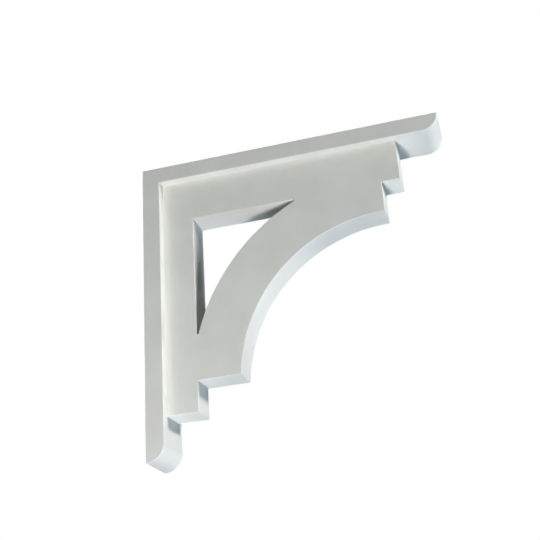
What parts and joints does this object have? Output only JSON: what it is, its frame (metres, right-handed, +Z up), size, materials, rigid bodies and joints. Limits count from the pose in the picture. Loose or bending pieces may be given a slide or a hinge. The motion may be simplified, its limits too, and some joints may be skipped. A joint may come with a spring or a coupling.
{
  "type": "arch bracket",
  "caption": "L-shaped shelf bracket with a thinner centre plate, a quarter-circle arch, stepped ends and a three-sided window.",
  "frame": {"origin": "middle of the flat face that goes on the wall", "axes": "+X leaves the wall along the upper strip, +Z is up along the wall strip, and the two sides, -Y the front and +Y the back, are alike"},
  "size_m": [0.6349, 0.1016, 0.6349],
  "materials": {
    "moulded_polyurethane": "smooth moulded foam with a factory white primer, between matt and satin"
  },
  "bodies": {
    "root": {"arch_bracket": "moulded_polyurethane"}
  },
  "joints": []
}
